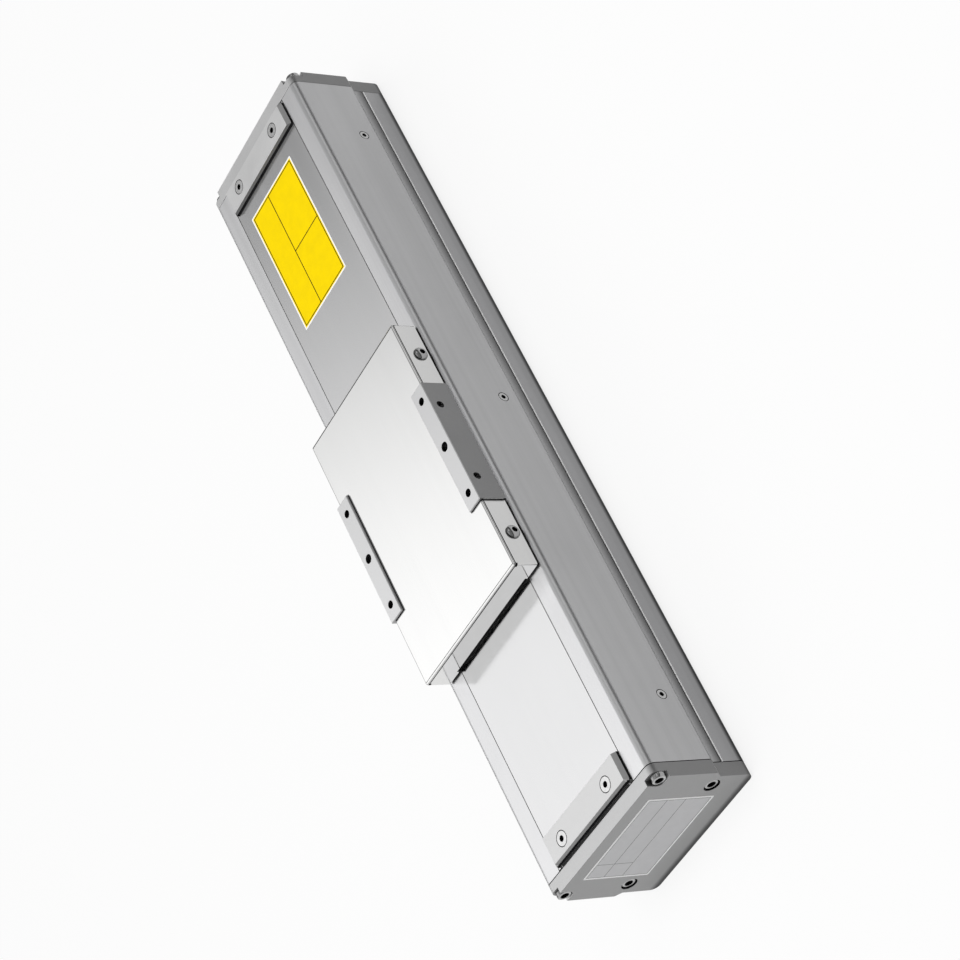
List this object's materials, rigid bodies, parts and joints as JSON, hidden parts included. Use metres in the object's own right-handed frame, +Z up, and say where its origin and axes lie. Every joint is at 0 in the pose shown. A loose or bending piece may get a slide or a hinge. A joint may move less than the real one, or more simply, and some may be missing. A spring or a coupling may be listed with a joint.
{
  "type": "linear module",
  "caption": "Enclosed ball screw linear module: a low slider with raised mounting pads rides along an aluminium housing under a steel sealing strip, driven by a built-in motor.",
  "frame": {"origin": "At mid-length and mid-width of the whole module, on the plane of its underside.", "axes": "X runs along the module, with + at the end away from the motor, Y across it, Z up from the underside to the slider's pads."},
  "size_m": [0.474, 0.1, 0.08],
  "materials": {
    "base_aluminium": "clear anodised extrusion",
    "cover_aluminium": "brushed and clear anodised",
    "plate_aluminium": "fine blasted and clear anodised",
    "clamp_aluminium": "fine blasted and clear anodised",
    "machined_aluminium": "machined and clear anodised",
    "strip_steel": "rolled stainless strip with a satin face",
    "cover_steel": "polished stainless sheet",
    "screw_steel": "plated steel",
    "ground_steel": "ground bearing steel",
    "motor_paint": "black powder coat",
    "black_plastic": "moulded black",
    "roller_plastic": "turned white acetal",
    "bumper_rubber": "moulded black",
    "magnet_rubber": "flexible magnet",
    "socket_metal": "nickel plated"
  },
  "bodies": {
    "frame": {"base_extrusion": "base_aluminium", "right_side_cover": "cover_aluminium", "left_side_cover": "cover_aluminium", "side_cover_screws": "screw_steel", "magnet_strips": "magnet_rubber", "near_end_plate": "plate_aluminium", "far_end_plate": "plate_aluminium", "socket_shells": "socket_metal", "socket_inserts": "black_plastic", "near_plate_screws": "screw_steel", "far_plate_screws": "screw_steel", "near_strip_clamp": "clamp_aluminium", "far_strip_clamp": "clamp_aluminium", "strip_clamp_screws": "screw_steel", "sealing_strip": "strip_steel", "far_strip_anchor": "machined_aluminium", "float_support": "machined_aluminium", "fixed_support": "machined_aluminium", "motor_bracket": "machined_aluminium", "support_screws": "screw_steel", "float_outer_ring": "ground_steel", "fixed_outer_rings": "ground_steel", "bearing_circlip": "screw_steel", "bearing_retainer": "machined_aluminium", "retainer_screws": "screw_steel", "motor_flange": "machined_aluminium", "motor_housing": "motor_paint", "encoder_cap": "black_plastic", "motor_screws": "screw_steel", "right_guide_rail": "ground_steel", "left_guide_rail": "ground_steel", "rail_screws": "screw_steel", "far_bumpers": "bumper_rubber", "near_bumpers": "bumper_rubber"},
    "slider": {"slider_block": "machined_aluminium", "slider_cover": "cover_steel", "slider_cover_screws": "screw_steel", "right_far_carriage": "ground_steel", "right_near_carriage": "ground_steel", "left_far_carriage": "ground_steel", "left_near_carriage": "ground_steel", "ball_nut": "ground_steel", "nut_screws": "screw_steel", "far_roller_bracket": "black_plastic", "near_roller_bracket": "black_plastic", "roller_axles": "ground_steel"},
    "screw": {"ball_screw": "ground_steel", "preload_ring_nut": "screw_steel", "fixed_inner_rings": "ground_steel", "float_inner_ring": "ground_steel", "beam_coupling": "machined_aluminium", "motor_rotor": "ground_steel"},
    "far_hold_roller": {"far_hold_roller": "roller_plastic"},
    "near_hold_roller": {"near_hold_roller": "roller_plastic"},
    "far_lift_roller": {"far_lift_roller": "roller_plastic"},
    "near_lift_roller": {"near_lift_roller": "roller_plastic"}
  },
  "joints": [
    {"name": "slider_travel", "type": "slide", "parent": "frame", "child": "slider", "axis": [1, 0, 0], "range_m": [-0.003, 0.1015], "deforming": ["sealing_strip"]},
    {"name": "screw_turn", "type": "hinge", "parent": "frame", "child": "screw", "pos_m": [0, 0, 0.041], "axis": [1, 0, 0], "range_deg": [-3660, 115]},
    {"name": "far_hold_roller_turn", "type": "hinge", "parent": "slider", "child": "far_hold_roller", "pos_m": [-0.0425, 0, 0.06705], "axis": [0, 1, 0], "range_deg": [-45, 1460]},
    {"name": "near_hold_roller_turn", "type": "hinge", "parent": "slider", "child": "near_hold_roller", "pos_m": [0.0995, 0, 0.06705], "axis": [0, 1, 0], "range_deg": [-45, 1460]},
    {"name": "far_lift_roller_turn", "type": "hinge", "parent": "slider", "child": "far_lift_roller", "pos_m": [-0.0055, 0, 0.06615], "axis": [0, 1, 0], "range_deg": [-1460, 45]},
    {"name": "near_lift_roller_turn", "type": "hinge", "parent": "slider", "child": "near_lift_roller", "pos_m": [0.0625, 0, 0.06615], "axis": [0, 1, 0], "range_deg": [-1460, 45]}
  ],
  "couplings": [
    {"joint": "screw_turn", "follows": "slider_travel", "rad_per_m": -628.32},
    {"joint": "far_hold_roller_turn", "follows": "slider_travel", "rad_per_m": 250},
    {"joint": "near_hold_roller_turn", "follows": "slider_travel", "rad_per_m": 250},
    {"joint": "far_lift_roller_turn", "follows": "slider_travel", "rad_per_m": -250},
    {"joint": "near_lift_roller_turn", "follows": "slider_travel", "rad_per_m": -250}
  ]
}
